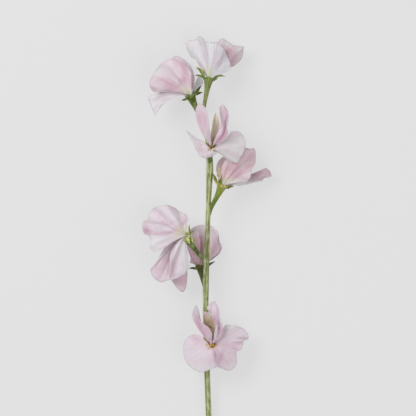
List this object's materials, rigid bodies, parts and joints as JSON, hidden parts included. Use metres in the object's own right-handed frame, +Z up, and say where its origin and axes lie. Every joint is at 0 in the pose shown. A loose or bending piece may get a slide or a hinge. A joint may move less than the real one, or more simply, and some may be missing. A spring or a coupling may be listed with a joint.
{
  "type": "sweet pea flower",
  "caption": "Cut stem of sweet pea with soft pink blooms on short stalks, each with a broad wavy banner, two wings and a keel, laid on a table.",
  "frame": {"origin": "middle of the flat spot under the stem's cut end, where the stem lies on the table", "axes": "+Y along the stem from the cut end towards its tip, +Z up off the table, +X to the right with the tip away"},
  "size_m": [0.0902, 0.3213, 0.0423],
  "materials": {
    "stem_green": "soft green stem with fine hairs, matt",
    "petal_pink": "thin pale pink petal, silky and matt",
    "keel_tan": "thin greenish tan petal, matt"
  },
  "bodies": {
    "root": {"stem": "stem_green", "bloom_1_banner": "petal_pink", "bloom_1_wing_left": "petal_pink", "bloom_1_wing_right": "petal_pink", "bloom_1_keel": "keel_tan", "bloom_2_banner": "petal_pink", "bloom_2_wing_left": "petal_pink", "bloom_2_wing_right": "petal_pink", "bloom_2_keel": "petal_pink", "bloom_3_banner": "petal_pink", "bloom_3_wing_left": "petal_pink", "bloom_3_wing_right": "petal_pink", "bloom_3_keel": "petal_pink", "bloom_4_banner": "petal_pink", "bloom_4_wing_left": "petal_pink", "bloom_4_wing_right": "petal_pink", "bloom_4_keel": "petal_pink", "bloom_5_banner": "petal_pink", "bloom_5_wing_left": "petal_pink", "bloom_5_wing_right": "petal_pink", "bloom_5_keel": "keel_tan", "bloom_6_banner": "petal_pink", "bloom_6_wing_left": "petal_pink", "bloom_6_wing_right": "petal_pink", "bloom_6_keel": "petal_pink", "bloom_7_banner": "petal_pink", "bloom_7_wing_left": "petal_pink", "bloom_7_wing_right": "petal_pink", "bloom_7_keel": "petal_pink"}
  },
  "joints": []
}
